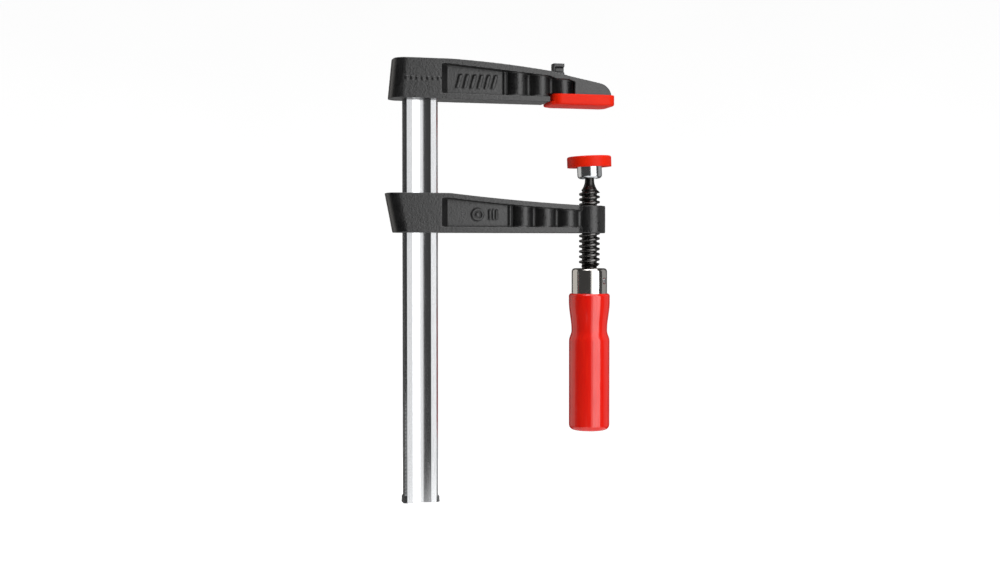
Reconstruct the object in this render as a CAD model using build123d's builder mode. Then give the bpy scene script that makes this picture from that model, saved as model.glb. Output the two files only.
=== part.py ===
from build123d import *
from math import acos, ceil, cos, degrees, floor, radians, sin, sqrt, tan
import os

# F-style screw clamp. A cast arm is pressed on one end of a flat steel rail, a second cast
# arm slides on the rail, and a screw in that arm pushes a swivelling plate at the fixed jaw.
#
# Frame, in millimetres: the origin is the centre of the fixed jaw's clamping face, on the
# screw's axis. +X runs from the rail towards the screw, +Y runs across the arms, and +Z runs
# up the rail, from the sliding arm to the fixed one.

# ---------------------------------------------------------------- driving dimensions

# Overall
MAX_OPENING = 250.0  # widest gap between the jaws
THROAT = 120.0  # screw axis to the rail's inner edge
REST_GAP = 37.7  # gap between the jaws as stored
SCREW_ABOVE_ARM = 20.7  # as stored, plate's cup to the top of the boss
SCREW_BELOW_ARM = 26.9  # as stored, bottom of the boss to the ferrule

# Rail
RAIL_WIDTH = 25.0
RAIL_THICKNESS = 12.0
RAIL_CHAMFER = 1.2
RAIL_RECESS = 1.0  # rail's end below the top of the fixed arm's head
TROUGH_WIDTH = 14.0
TROUGH_FLOOR = 1.0
TROUGH_DEPTH = 1.2
STOP_LENGTH = 6.6
STOP_SWELL = 1.0
STOP_GAP = 0.5

# Both arms
ARM_THICKNESS = 25.0
WEB_THICKNESS = 12.5
HEAD_FRONT = 8.0  # head in front of the rail, to where the top edge starts to fall
BACK_ROUNDING = 9.0
POCKET_START = 1.5  # in front of the rail's inner edge
SLOPE_LENGTH = 5.5  # sloped wall at the rail's end of each pocket
RIB_COUNT = 3
RIB_HEIGHT = 5.2
RIB_VALLEY = 2.3
RIDGE_WIDTH = 1.8
RIDGE_HEIGHT = 1.0
RELIEF_HEIGHT = 0.6  # cast decoration
RELIEF_ROOT = 0.3  # depth of the decoration's foot in the casting

# Fixed arm
FIXED_HEAD_HEIGHT = 29.5
FIXED_BACK_TOP = 8.0
FIXED_BACK_BOTTOM = 11.0
FIXED_FLANGE = 3.9
FIXED_RIB_WIDTH = 15.4
FIXED_RIB_END = -16.2
FIXED_POCKET_END = -16.0
SLOPE_START_X = -35.5  # where the top edge bends down behind the lug
SLOPE_START_Z = 25.2
SLOPE_END_X = -17.9  # where the lug's fillet ends
SLOPE_END_Z = 21.4
SLOPE_BULGE = 0.9
KNEE_X = 4.4  # where the sloping top turns down into the tip
KNEE_Z = 17.1
TIP_HEIGHT = 6.0
JAW_FRONT = 13.5
FOOT_LENGTH = 39.6
NOTCH_LENGTH = 9.0
NOTCH_ROOM = 0.6

# Hook lug on the fixed arm
LUG_BACK = -30.0
LUG_LENGTH = 8.8
LUG_WIDTH = 7.0
LUG_NECK = 3.2
LUG_TOP_Z = 32.3
LUG_FOOT_Z = 19.8
LUG_ROOM_Z = 19.3  # top of the pocket under the lug
LUG_LIP = 2.7
LUG_END_WALL = 1.3
LUG_RECESS = 4.0

# Plastic cap on the fixed jaw
CAP_FLOOR = 2.0
CAP_HEIGHT = 8.0
CAP_WALL = 2.5
CAP_FRONT_WALL = 3.0
CAP_LIP = 5.8
CAP_LIP_THICKNESS = 2.4
CAP_CORNER = 2.2
CAP_LIP_CORNER = 4.0
CAP_EDGE = 1.0

# Sliding arm
SLIDING_HEAD_HEIGHT = 29.3
SLIDING_BACK_TOP = 13.5
SLIDING_BACK_BOTTOM = 7.7
SLIDING_FLANGE_TOP = 3.8
SLIDING_FLANGE_BOTTOM = 4.5
SLIDING_RIB_WIDTH = 15.7
SLIDING_RIB_END = -11.3
SLIDING_TOP_SAG = 0.8
SLIDE_GAP_WIDTH = 0.4  # play on the rail's narrow edges
SLIDE_GAP_THICKNESS = 0.3  # play on the rail's broad faces
BOSS_HEIGHT = 21.1
BOSS_DIAMETER = 21.6
FIN_REACH = 12.4
FIN_THICKNESS = 4.0
ARM_NOSE = -9.0
NOSE_ROUNDING = 4.5

# Cast decoration: slanted bars and a row of pips, a ring and three short bars
BAR_COUNT = 6
BAR_PITCH = 5.4
BAR_WIDTH = 2.2
BAR_RISE = 9.5
BAR_SLANT = 2.6
BARS_START = 13.5  # in front of the rail's inner edge
BARS_HEIGHT = 9.0  # above the arm's bottom
PIP_COUNT = 7
PIP_PITCH = 4.0
PIP_DIAMETER = 2.2
PIPS_HEIGHT = 14.5
DIAL_START = 30.0
DIAL_DIAMETER = 9.0
DIAL_RIM = 1.2
DIAL_DOT = 3.0
TALLY_START = 42.0
TALLY_COUNT = 3
TALLY_PITCH = 2.6
TALLY_WIDTH = 1.2
TALLY_RISE = 7.0
DIAL_HEIGHT = 13.6

# Screw thread, trapezoidal, right-hand
THREAD_DIAMETER = 16.0
THREAD_PITCH = 4.0
THREAD_CORE = 11.5
FLANK_ANGLE = 15.0
CREST_SHARE = 0.366  # width of the crest over the pitch
NUT_CREST_GAP = 0.25
NUT_ROOT_GAP = 0.25
FLANK_GAP = 0.15
ROOT_OVERLAP = 0.4  # depth to which a thread ridge is rooted in the core
THREAD_RUN_OUT = 1.0
THREAD_LEAD_IN = 2.25

# Spindle's ball end and shank
BALL_DIAMETER = 11.4
BALL_FLAT_DROP = 0.7  # from the ball's pole to the small flat on it
NECK_DIAMETER = 7.1
NECK_LENGTH = 6.5
CONE_LENGTH = 7.5
TANG_LENGTH = 40.0
TANG_CHAMFER = 1.0

# Pressure plate and its cap
PLATE_REST_TILT = 2.4  # degrees, screw side up, as stored
TILT_LIMIT = 12.0  # degrees each way from level
STOP_CLEARANCE = 0.3
PLATE_DIAMETER = 29.0
PLATE_THICKNESS = 3.0
CUP_DIAMETER = 19.0
CUP_DEPTH = 5.9  # ball's centre to the cup's mouth
CUP_ROUNDING = 2.7
MOUTH_GAP = 0.2
MOUTH_CHAMFER = 0.8
BALL_GAP = 0.05
CAP_TOP_TO_BALL = 11.3
PLATE_CAP_DIAMETER = 34.0
PLATE_CAP_HEIGHT = 8.3
PLATE_CAP_WEB = 2.5
PLATE_CAP_SNAP = 1.3  # inward lip that holds the plate
PLATE_CAP_EDGE = 1.4

# Retaining ring in the cup
WIRE_DIAMETER = 1.2
RING_GAP = 0.08
RING_DROP = 2.8  # below the ball's centre
RING_ARC = 320.0  # degrees

# Ferrule, handle and cross pin
FERRULE_DIAMETER = 27.4
FERRULE_LENGTH = 19.4
FERRULE_WALL = 1.5
FERRULE_ROUNDING = 2.5
PIN_DIAMETER = 4.0
PIN_SUNK = 0.3
PIN_ANGLE = 39.0  # degrees from -Y towards +X
HANDLE_LENGTH = 105.2
COLLAR_DIAMETER = 31.6
COLLAR_LENGTH = 6.0
COLLAR_ROUNDING = 2.0
WAIST_DIAMETER = 27.5
WAIST_DROP = 28.6
SHOULDER_DROP = 36.5
BARREL_DIAMETER = 31.3
HANDLE_END_ROUNDING = 4.0

# ---------------------------------------------------------------- places worked out from them

RAIL_INNER_X = -THROAT
RAIL_CENTRE_X = RAIL_INNER_X - RAIL_WIDTH / 2
RAIL_OUTER_X = RAIL_INNER_X - RAIL_WIDTH
HEAD_FRONT_X = RAIL_INNER_X + HEAD_FRONT
POCKET_START_X = RAIL_INNER_X + POCKET_START
ARM_HALF = ARM_THICKNESS / 2
WEB_HALF = WEB_THICKNESS / 2

FIXED_BOTTOM_Z = CAP_FLOOR
FIXED_TOP_Z = FIXED_BOTTOM_Z + FIXED_HEAD_HEIGHT
RAIL_TOP_Z = FIXED_TOP_Z - RAIL_RECESS
FOOT_BACK_X = JAW_FRONT - FOOT_LENGTH
LUG_FRONT = LUG_BACK + LUG_LENGTH

PLATE_TOP_Z = -REST_GAP
BALL_Z = PLATE_TOP_Z - CAP_TOP_TO_BALL
CUP_BOTTOM_Z = BALL_Z - CUP_DEPTH
BOSS_TOP_Z = CUP_BOTTOM_Z - SCREW_ABOVE_ARM
ARM_BOTTOM_Z = BOSS_TOP_Z - BOSS_HEIGHT
ARM_TOP_Z = ARM_BOTTOM_Z + SLIDING_HEAD_HEIGHT
FERRULE_TOP_Z = ARM_BOTTOM_Z - SCREW_BELOW_ARM
FERRULE_BOTTOM_Z = FERRULE_TOP_Z - FERRULE_LENGTH
HANDLE_BOTTOM_Z = FERRULE_BOTTOM_Z - HANDLE_LENGTH

# The screw draws back until the fully tilted cup would meet the boss, and the arm then
# slides down until the jaws are at their widest.
CUP_SWING = CUP_DIAMETER / 2 * sin(radians(TILT_LIMIT)) - CUP_DEPTH * (1 - cos(radians(TILT_LIMIT)))
SCREW_RETREAT = SCREW_ABOVE_ARM - CUP_SWING - STOP_CLEARANCE
ARM_DROP = MAX_OPENING - REST_GAP - SCREW_RETREAT
RAIL_BOTTOM_Z = ARM_BOTTOM_Z - ARM_DROP - STOP_GAP - STOP_LENGTH

BALL_R = BALL_DIAMETER / 2
BALL_FLAT_Z = BALL_Z + BALL_R - BALL_FLAT_DROP
NECK_R = NECK_DIAMETER / 2
CORE_R = THREAD_CORE / 2
THREAD_R = THREAD_DIAMETER / 2
NECK_END_Z = BALL_Z - NECK_LENGTH
THREAD_TOP_Z = NECK_END_Z - CONE_LENGTH
THREAD_BOTTOM_Z = FERRULE_TOP_Z + THREAD_RUN_OUT
THREAD_TURNS = ceil((THREAD_TOP_Z - THREAD_BOTTOM_Z) / THREAD_PITCH) + 1
THREAD_START_Z = THREAD_BOTTOM_Z - THREAD_PITCH / 2
NUT_R = CORE_R + NUT_ROOT_GAP
NUT_CREST_R = THREAD_R + NUT_CREST_GAP
# The nut's thread is in step with the screw's and runs out of both ends of the boss.
NUT_END = THREAD_PITCH / 2
NUT_SKIP = floor((ARM_BOTTOM_Z - NUT_END - THREAD_START_Z) / THREAD_PITCH)
NUT_START_Z = THREAD_START_Z + THREAD_PITCH * NUT_SKIP
NUT_TURNS = ceil((BOSS_TOP_Z + NUT_END - NUT_START_Z) / THREAD_PITCH)
CREST_HALF = CREST_SHARE * THREAD_PITCH / 2
FLANK_SLOPE = tan(radians(FLANK_ANGLE))

RING_SHELL_R = BALL_R + RING_GAP + WIRE_DIAMETER / 2
RING_R = sqrt(RING_SHELL_R**2 - RING_DROP**2)
RING_POCKET_R = RING_SHELL_R + WIRE_DIAMETER / 2 + RING_GAP
SEAT_R = BALL_R + BALL_GAP
MOUTH_R = BALL_R + MOUTH_GAP

SPIGOT_TOP_Z = FERRULE_TOP_Z - FERRULE_WALL
SPIGOT_R = FERRULE_DIAMETER / 2 - FERRULE_WALL
TANG_END_Z = FERRULE_BOTTOM_Z - TANG_LENGTH
PIN_Z = (FERRULE_TOP_Z + FERRULE_BOTTOM_Z) / 2
PIN_PLANE = Plane(
    origin=(0, 0, PIN_Z),
    x_dir=(0, 0, 1),
    z_dir=(sin(radians(PIN_ANGLE)), -cos(radians(PIN_ANGLE)), 0),
)

TILT_COS = cos(radians(PLATE_REST_TILT))
TILT_SIN = sin(radians(PLATE_REST_TILT))
PLATE_PLANE = Plane(origin=(0, 0, BALL_Z), x_dir=(TILT_COS, 0, TILT_SIN), z_dir=(0, -1, 0))
PLATE_AXIS = Axis((0, 0, BALL_Z), (-TILT_SIN, 0, TILT_COS))


def on_circle(radius, angle):
    """Point on a circle about the sketch's origin, with the angle in degrees."""
    return (radius * cos(radians(angle)), radius * sin(radians(angle)))


def corner_arc(start, corner, end):
    """Quarter round between two points that share a square corner."""
    end_share = 1 - sqrt(0.5)
    corner_share = sqrt(2) - 1
    middle = tuple(end_share * (a + b) + corner_share * c for a, b, c in zip(start, end, corner))
    ThreePointArc(start, middle, end)


def rail_slot(width, thickness, bottom_z, top_z):
    """Upright hole for the rail, cut right through the part being built."""
    with BuildSketch(Plane.XY.offset(bottom_z)) as slot:
        with Locations((RAIL_CENTRE_X, 0)):
            Rectangle(width, thickness)
    extrude(slot.sketch, amount=top_z - bottom_z, mode=Mode.SUBTRACT)


def round_back(arm):
    """Round the two upright edges of an arm's back face."""
    back_face = arm.faces().sort_by(Axis.X)[0]
    fillet(back_face.edges().filter_by(Axis.Y, reverse=True), radius=BACK_ROUNDING)


def pocket_plan(rib_width, rib_end, pocket_end):
    """Plan of a pocket on the +Y side: the space outside its floor, ridge and ribs."""
    outside = ARM_HALF + SLOPE_LENGTH
    overshoot = SLOPE_LENGTH * (outside - ARM_HALF) / (ARM_HALF - WEB_HALF)
    rib_step = rib_width + RIB_VALLEY
    first_rib_x = rib_end - RIB_COUNT * rib_step + RIB_VALLEY
    ridge_end_x = first_rib_x - RIB_VALLEY / 2
    ridge_x = ridge_end_x - RIDGE_WIDTH
    with BuildSketch(Plane.XY) as plan:
        with BuildLine():
            Polyline(
                (pocket_end, WEB_HALF),
                (pocket_end, outside),
                (POCKET_START_X - overshoot, outside),
                (POCKET_START_X + SLOPE_LENGTH, WEB_HALF),
                (ridge_x, WEB_HALF),
                (ridge_x, WEB_HALF + RIDGE_HEIGHT),
                (ridge_end_x, WEB_HALF + RIDGE_HEIGHT),
                (ridge_end_x, WEB_HALF),
                (first_rib_x, WEB_HALF),
            )
            for rib in range(RIB_COUNT):
                near_x = first_rib_x + rib * rib_step
                far_x = near_x + rib_width
                crown = ((near_x + far_x) / 2, WEB_HALF + RIB_HEIGHT)
                ThreePointArc((near_x, WEB_HALF), crown, (far_x, WEB_HALF))
                valley_end_x = pocket_end if rib == RIB_COUNT - 1 else far_x + RIB_VALLEY
                Line((far_x, WEB_HALF), (valley_end_x, WEB_HALF))
        make_face()
    return plan.sketch


def cut_pockets(pocket):
    """Cut a +Y pocket and its mirror image from the arm being built."""
    add(pocket, mode=Mode.SUBTRACT)
    mirror(pocket, about=Plane.XZ, mode=Mode.SUBTRACT)


def raise_relief(relief, half_width):
    """Raise a flat relief, drawn in X and Z, from both sides of the arm being built."""
    for side in (1, -1):
        with BuildSketch(Plane.XZ.offset(side * (half_width - RELIEF_ROOT))) as placed_relief:
            add(relief)
        extrude(placed_relief.sketch, amount=side * (RELIEF_ROOT + RELIEF_HEIGHT))


def thread_section(crest_r, crest_half, root_r):
    """Axial section of one thread turn, from its root to its crest."""
    root_half = crest_half + (crest_r - root_r) * FLANK_SLOPE
    with BuildSketch() as section:
        Polygon(
            (root_r, -root_half),
            (crest_r, -crest_half),
            (crest_r, crest_half),
            (root_r, root_half),
            align=None,
        )
    return section.sketch


def thread_ridge(section, start_z, turns):
    """Thread section swept up a right-hand helix that starts on the XZ plane."""
    with BuildPart() as ridge:
        with BuildLine():
            Helix(
                pitch=THREAD_PITCH,
                height=turns * THREAD_PITCH,
                radius=THREAD_R,
                center=(0, 0, start_z),
            )
        with BuildSketch(Plane((0, 0, start_z), x_dir=(1, 0, 0), z_dir=(0, -1, 0))):
            add(section)
        sweep(is_frenet=True)
    return ridge.part


def pin_hole():
    """Hole for the cross pin, right through the part being built."""
    with BuildSketch(PIN_PLANE) as hole:
        Circle(PIN_DIAMETER / 2)
    extrude(hole.sketch, amount=FERRULE_DIAMETER, both=True, mode=Mode.SUBTRACT)


# ---------------------------------------------------------------- rail

with BuildPart() as rail:
    rail_half_width = RAIL_WIDTH / 2
    rail_half_thickness = RAIL_THICKNESS / 2
    with BuildSketch(Plane((RAIL_CENTRE_X, 0, RAIL_BOTTOM_Z))):
        with BuildLine():
            trough_floor = rail_half_thickness - TROUGH_DEPTH
            Line((0, trough_floor), (TROUGH_FLOOR / 2, trough_floor))
            TangentArc(
                (TROUGH_FLOOR / 2, trough_floor),
                (TROUGH_WIDTH / 2, rail_half_thickness),
                tangent=(1, 0),
            )
            Polyline(
                (TROUGH_WIDTH / 2, rail_half_thickness),
                (rail_half_width - RAIL_CHAMFER, rail_half_thickness),
                (rail_half_width, rail_half_thickness - RAIL_CHAMFER),
                (rail_half_width, 0),
            )
            mirror(about=Plane.XZ)
            mirror(about=Plane.YZ)
        make_face()
    extrude(amount=RAIL_TOP_Z - RAIL_BOTTOM_Z)
    # Both narrow edges are upset at the lower end, which keeps the sliding arm on the rail.
    with BuildSketch(Plane((RAIL_CENTRE_X, 0, RAIL_BOTTOM_Z), x_dir=(1, 0, 0), z_dir=(0, -1, 0))):
        Polygon(
            (rail_half_width - STOP_SWELL, 0),
            (rail_half_width, 0),
            (rail_half_width + STOP_SWELL, STOP_SWELL),
            (rail_half_width + STOP_SWELL, STOP_LENGTH - STOP_SWELL),
            (rail_half_width, STOP_LENGTH),
            (rail_half_width - STOP_SWELL, STOP_LENGTH),
            align=None,
        )
        mirror(about=Plane.YZ)
    extrude(amount=rail_half_thickness - RAIL_CHAMFER, both=True)

# ---------------------------------------------------------------- fixed arm

with BuildPart() as fixed_pocket:
    with BuildSketch(Plane.XZ):
        Polygon(
            (POCKET_START_X - SLOPE_LENGTH, FIXED_BOTTOM_Z + FIXED_FLANGE),
            (POCKET_START_X - SLOPE_LENGTH, FIXED_TOP_Z - FIXED_FLANGE),
            (HEAD_FRONT_X, FIXED_TOP_Z - FIXED_FLANGE),
            (SLOPE_START_X, SLOPE_START_Z - FIXED_FLANGE),
            (LUG_BACK, LUG_ROOM_Z),
            (LUG_FRONT, LUG_ROOM_Z),
            (FIXED_POCKET_END, SLOPE_END_Z - FIXED_FLANGE),
            (FIXED_POCKET_END, FIXED_BOTTOM_Z + FIXED_FLANGE),
            align=None,
        )
    extrude(amount=ARM_THICKNESS, both=True)
    with BuildSketch(Plane.XY):
        add(pocket_plan(FIXED_RIB_WIDTH, FIXED_RIB_END, FIXED_POCKET_END))
    extrude(amount=FIXED_TOP_Z, mode=Mode.INTERSECT)

with BuildSketch() as slanted_bars:
    for bar in range(BAR_COUNT):
        with Locations((RAIL_INNER_X + BARS_START + bar * BAR_PITCH, FIXED_BOTTOM_Z + BARS_HEIGHT)):
            Polygon(
                (0, 0),
                (BAR_WIDTH, 0),
                (BAR_WIDTH + BAR_SLANT, BAR_RISE),
                (BAR_SLANT, BAR_RISE),
                align=None,
            )

with BuildSketch() as pip_row:
    with Locations((RAIL_CENTRE_X, FIXED_BOTTOM_Z + PIPS_HEIGHT)):
        with GridLocations(PIP_PITCH, PIP_PITCH, PIP_COUNT, 1):
            Circle(PIP_DIAMETER / 2)

with BuildPart() as fixed_arm:
    with BuildSketch(Plane.XZ):
        with BuildLine():
            Polyline(
                (JAW_FRONT, FIXED_BOTTOM_Z + TIP_HEIGHT),
                (JAW_FRONT, FIXED_BOTTOM_Z),
                (RAIL_OUTER_X - FIXED_BACK_BOTTOM, FIXED_BOTTOM_Z),
                (RAIL_OUTER_X - FIXED_BACK_TOP, FIXED_TOP_Z),
                (HEAD_FRONT_X, FIXED_TOP_Z),
            )
            SagittaArc((HEAD_FRONT_X, FIXED_TOP_Z), (SLOPE_START_X, SLOPE_START_Z), SLOPE_BULGE)
            Polyline((SLOPE_START_X, SLOPE_START_Z), (SLOPE_END_X, SLOPE_END_Z), (KNEE_X, KNEE_Z))
            TangentArc(
                (KNEE_X, KNEE_Z),
                (JAW_FRONT, FIXED_BOTTOM_Z + TIP_HEIGHT),
                tangent=(KNEE_X - SLOPE_END_X, KNEE_Z - SLOPE_END_Z),
            )
        make_face()
    extrude(amount=ARM_HALF, both=True)
    round_back(fixed_arm.part)
    cut_pockets(fixed_pocket.part)
    # A notch behind the foot lets the plastic cap clip round it.
    with BuildSketch(Plane.XZ):
        with Locations((FOOT_BACK_X, FIXED_BOTTOM_Z)):
            Rectangle(NOTCH_LENGTH, CAP_HEIGHT - CAP_FLOOR + NOTCH_ROOM, align=(Align.MAX, Align.MIN))
    extrude(amount=ARM_THICKNESS, both=True, mode=Mode.SUBTRACT)
    rail_slot(RAIL_WIDTH, RAIL_THICKNESS, FIXED_BOTTOM_Z, FIXED_TOP_Z)
    # The hook lug stands on the middle of the top edge, with a lip along both of its sides.
    with BuildSketch(Plane.XZ):
        with BuildLine():
            lug_fillet = SLOPE_END_X - LUG_FRONT
            Polyline(
                (SLOPE_END_X, SLOPE_END_Z),
                (SLOPE_END_X, LUG_FOOT_Z),
                (LUG_BACK, LUG_FOOT_Z),
                (LUG_BACK, LUG_TOP_Z),
                (LUG_FRONT, LUG_TOP_Z),
                (LUG_FRONT, SLOPE_END_Z + lug_fillet),
            )
            corner_arc(
                (LUG_FRONT, SLOPE_END_Z + lug_fillet),
                (LUG_FRONT, SLOPE_END_Z),
                (SLOPE_END_X, SLOPE_END_Z),
            )
        make_face()
    extrude(amount=LUG_WIDTH / 2, both=True)
    for side in (1, -1):
        with BuildSketch(Plane.XZ.offset(side * LUG_NECK / 2)):
            with Locations((LUG_FRONT, LUG_TOP_Z - LUG_LIP)):
                Rectangle(LUG_LENGTH - LUG_END_WALL, LUG_RECESS, align=(Align.MAX, Align.MAX))
        extrude(amount=side * LUG_WIDTH, mode=Mode.SUBTRACT)
    raise_relief(slanted_bars.sketch, WEB_HALF)
    raise_relief(pip_row.sketch, ARM_HALF)

# ---------------------------------------------------------------- cap on the fixed jaw

with BuildPart() as jaw_cap:
    cap_length = FOOT_LENGTH + CAP_WALL + CAP_FRONT_WALL
    with BuildSketch(Plane.XY):
        with Locations((FOOT_BACK_X - CAP_WALL, 0)):
            RectangleRounded(
                cap_length,
                ARM_THICKNESS + 2 * CAP_WALL,
                CAP_CORNER,
                align=(Align.MIN, Align.CENTER),
            )
    extrude(amount=CAP_HEIGHT)
    # A thin lip runs back from the tray under the notch.
    with BuildSketch(Plane.XY):
        with Locations((FOOT_BACK_X - CAP_WALL - CAP_LIP, 0)):
            RectangleRounded(
                2 * CAP_LIP + CAP_LIP_CORNER,
                ARM_THICKNESS,
                CAP_LIP_CORNER,
                align=(Align.MIN, Align.CENTER),
            )
    extrude(amount=CAP_LIP_THICKNESS)
    chamfer(jaw_cap.faces().sort_by(Axis.Z)[0].edges(), length=CAP_EDGE)
    with BuildSketch(Plane.XY.offset(CAP_FLOOR)):
        with Locations((FOOT_BACK_X, 0)):
            Rectangle(FOOT_LENGTH, ARM_THICKNESS, align=(Align.MIN, Align.CENTER))
    extrude(amount=CAP_HEIGHT, mode=Mode.SUBTRACT)

# ---------------------------------------------------------------- sliding arm

with BuildPart() as sliding_pocket:
    with BuildSketch(Plane.XZ):
        with BuildLine():
            Polyline(
                (ARM_NOSE, BOSS_TOP_Z - SLIDING_FLANGE_TOP),
                (ARM_NOSE, ARM_BOTTOM_Z + SLIDING_FLANGE_BOTTOM),
                (POCKET_START_X - SLOPE_LENGTH, ARM_BOTTOM_Z + SLIDING_FLANGE_BOTTOM),
                (POCKET_START_X - SLOPE_LENGTH, ARM_TOP_Z - SLIDING_FLANGE_TOP),
                (HEAD_FRONT_X, ARM_TOP_Z - SLIDING_FLANGE_TOP),
            )
            SagittaArc(
                (HEAD_FRONT_X, ARM_TOP_Z - SLIDING_FLANGE_TOP),
                (ARM_NOSE, BOSS_TOP_Z - SLIDING_FLANGE_TOP),
                -SLIDING_TOP_SAG,
            )
        make_face()
    extrude(amount=ARM_THICKNESS, both=True)
    with BuildSketch(Plane.XY.offset(ARM_BOTTOM_Z)):
        add(pocket_plan(SLIDING_RIB_WIDTH, SLIDING_RIB_END, ARM_NOSE))
    extrude(amount=SLIDING_HEAD_HEIGHT, mode=Mode.INTERSECT)

with BuildSketch() as dial:
    with Locations((RAIL_INNER_X + DIAL_START, ARM_BOTTOM_Z + DIAL_HEIGHT)):
        Circle(DIAL_DIAMETER / 2)
        Circle(DIAL_DIAMETER / 2 - DIAL_RIM, mode=Mode.SUBTRACT)
        Circle(DIAL_DOT / 2)

with BuildSketch() as tally_bars:
    with Locations((RAIL_INNER_X + TALLY_START, ARM_BOTTOM_Z + DIAL_HEIGHT)):
        with GridLocations(TALLY_PITCH, TALLY_PITCH, TALLY_COUNT, 1):
            Rectangle(TALLY_WIDTH, TALLY_RISE)

nut_section = thread_section(
    NUT_CREST_R,
    CREST_HALF + FLANK_GAP - NUT_CREST_GAP * FLANK_SLOPE,
    NUT_R - ROOT_OVERLAP,
)

with BuildPart() as sliding_arm:
    with BuildSketch(Plane.XZ):
        with BuildLine():
            Polyline(
                (ARM_NOSE, BOSS_TOP_Z),
                (ARM_NOSE, ARM_BOTTOM_Z),
                (RAIL_OUTER_X - SLIDING_BACK_BOTTOM, ARM_BOTTOM_Z),
                (RAIL_OUTER_X - SLIDING_BACK_TOP, ARM_TOP_Z),
                (HEAD_FRONT_X, ARM_TOP_Z),
            )
            SagittaArc((HEAD_FRONT_X, ARM_TOP_Z), (ARM_NOSE, BOSS_TOP_Z), -SLIDING_TOP_SAG)
        make_face()
    extrude(amount=ARM_HALF, both=True)
    round_back(sliding_arm.part)
    nose_face = sliding_arm.faces().sort_by(Axis.X)[-1]
    fillet(nose_face.edges().filter_by(Axis.Z), radius=NOSE_ROUNDING)
    cut_pockets(sliding_pocket.part)
    rail_slot(
        RAIL_WIDTH + 2 * SLIDE_GAP_WIDTH,
        RAIL_THICKNESS + 2 * SLIDE_GAP_THICKNESS,
        ARM_BOTTOM_Z,
        ARM_TOP_Z,
    )
    raise_relief(dial.sketch, WEB_HALF)
    raise_relief(tally_bars.sketch, WEB_HALF)
    with BuildSketch(Plane.XY.offset(ARM_BOTTOM_Z)):
        Circle(BOSS_DIAMETER / 2)
        Rectangle(FIN_REACH, FIN_THICKNESS, align=(Align.MIN, Align.CENTER))
    extrude(amount=BOSS_HEIGHT)
    with BuildSketch(Plane.XY.offset(ARM_BOTTOM_Z)):
        Circle(NUT_R)
    extrude(amount=BOSS_HEIGHT, mode=Mode.SUBTRACT)
    add(thread_ridge(nut_section, NUT_START_Z, NUT_TURNS), mode=Mode.SUBTRACT)

# ---------------------------------------------------------------- spindle

with BuildPart() as spindle_thread:
    add(
        thread_ridge(
            thread_section(THREAD_R, CREST_HALF, CORE_R - ROOT_OVERLAP),
            THREAD_START_Z,
            THREAD_TURNS,
        )
    )
    # Both ends of the thread run out on a cone.
    with BuildSketch(Plane.XZ):
        Polygon(
            (0, THREAD_BOTTOM_Z),
            (CORE_R, THREAD_BOTTOM_Z),
            (THREAD_R + ROOT_OVERLAP, THREAD_BOTTOM_Z + THREAD_LEAD_IN + ROOT_OVERLAP),
            (THREAD_R + ROOT_OVERLAP, THREAD_TOP_Z - THREAD_LEAD_IN - ROOT_OVERLAP),
            (CORE_R, THREAD_TOP_Z),
            (0, THREAD_TOP_Z),
            align=None,
        )
    revolve(axis=Axis.Z, mode=Mode.INTERSECT)

with BuildPart() as spindle:
    flat_r = sqrt(BALL_R**2 - (BALL_R - BALL_FLAT_DROP) ** 2)
    neck_joint_z = BALL_Z - sqrt(BALL_R**2 - NECK_R**2)
    with BuildSketch(Plane.XZ):
        with BuildLine():
            ThreePointArc((flat_r, BALL_FLAT_Z), (BALL_R, BALL_Z), (NECK_R, neck_joint_z))
            Polyline(
                (NECK_R, neck_joint_z),
                (NECK_R, NECK_END_Z),
                (CORE_R, THREAD_TOP_Z),
                (CORE_R, TANG_END_Z + TANG_CHAMFER),
                (CORE_R - TANG_CHAMFER, TANG_END_Z),
                (0, TANG_END_Z),
                (0, BALL_FLAT_Z),
                (flat_r, BALL_FLAT_Z),
            )
        make_face()
    revolve(axis=Axis.Z)
    add(spindle_thread.part)
    pin_hole()

# ---------------------------------------------------------------- pressure plate, ring and cap

with BuildPart() as pressure_plate:
    plate_top = CAP_TOP_TO_BALL - PLATE_CAP_WEB
    plate_bottom = plate_top - PLATE_THICKNESS
    cup_r = CUP_DIAMETER / 2
    # Below the ball's centre the cup widens to a round pocket, in which the ring has its play.
    pocket_angle = -degrees(acos(MOUTH_R / RING_POCKET_R))
    with BuildSketch(PLATE_PLANE):
        with BuildLine():
            ThreePointArc((0, SEAT_R), (SEAT_R * sqrt(0.5), SEAT_R * sqrt(0.5)), (SEAT_R, 0))
            Polyline((SEAT_R, 0), (RING_POCKET_R, 0))
            ThreePointArc(
                (RING_POCKET_R, 0),
                on_circle(RING_POCKET_R, pocket_angle / 2),
                on_circle(RING_POCKET_R, pocket_angle),
            )
            Polyline(
                on_circle(RING_POCKET_R, pocket_angle),
                (MOUTH_R, MOUTH_CHAMFER - CUP_DEPTH),
                (MOUTH_R + MOUTH_CHAMFER, -CUP_DEPTH),
                (cup_r - CUP_ROUNDING, -CUP_DEPTH),
            )
            corner_arc(
                (cup_r - CUP_ROUNDING, -CUP_DEPTH),
                (cup_r, -CUP_DEPTH),
                (cup_r, CUP_ROUNDING - CUP_DEPTH),
            )
            Polyline(
                (cup_r, CUP_ROUNDING - CUP_DEPTH),
                (cup_r, plate_bottom),
                (PLATE_DIAMETER / 2, plate_bottom),
                (PLATE_DIAMETER / 2, plate_top),
                (0, plate_top),
                (0, SEAT_R),
            )
        make_face()
    revolve(axis=PLATE_AXIS)

with BuildPart() as snap_ring:
    with BuildSketch(Plane.XZ):
        with Locations((RING_R, BALL_Z - RING_DROP)):
            Circle(WIRE_DIAMETER / 2)
    revolve(axis=Axis.Z, revolution_arc=RING_ARC)

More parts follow.
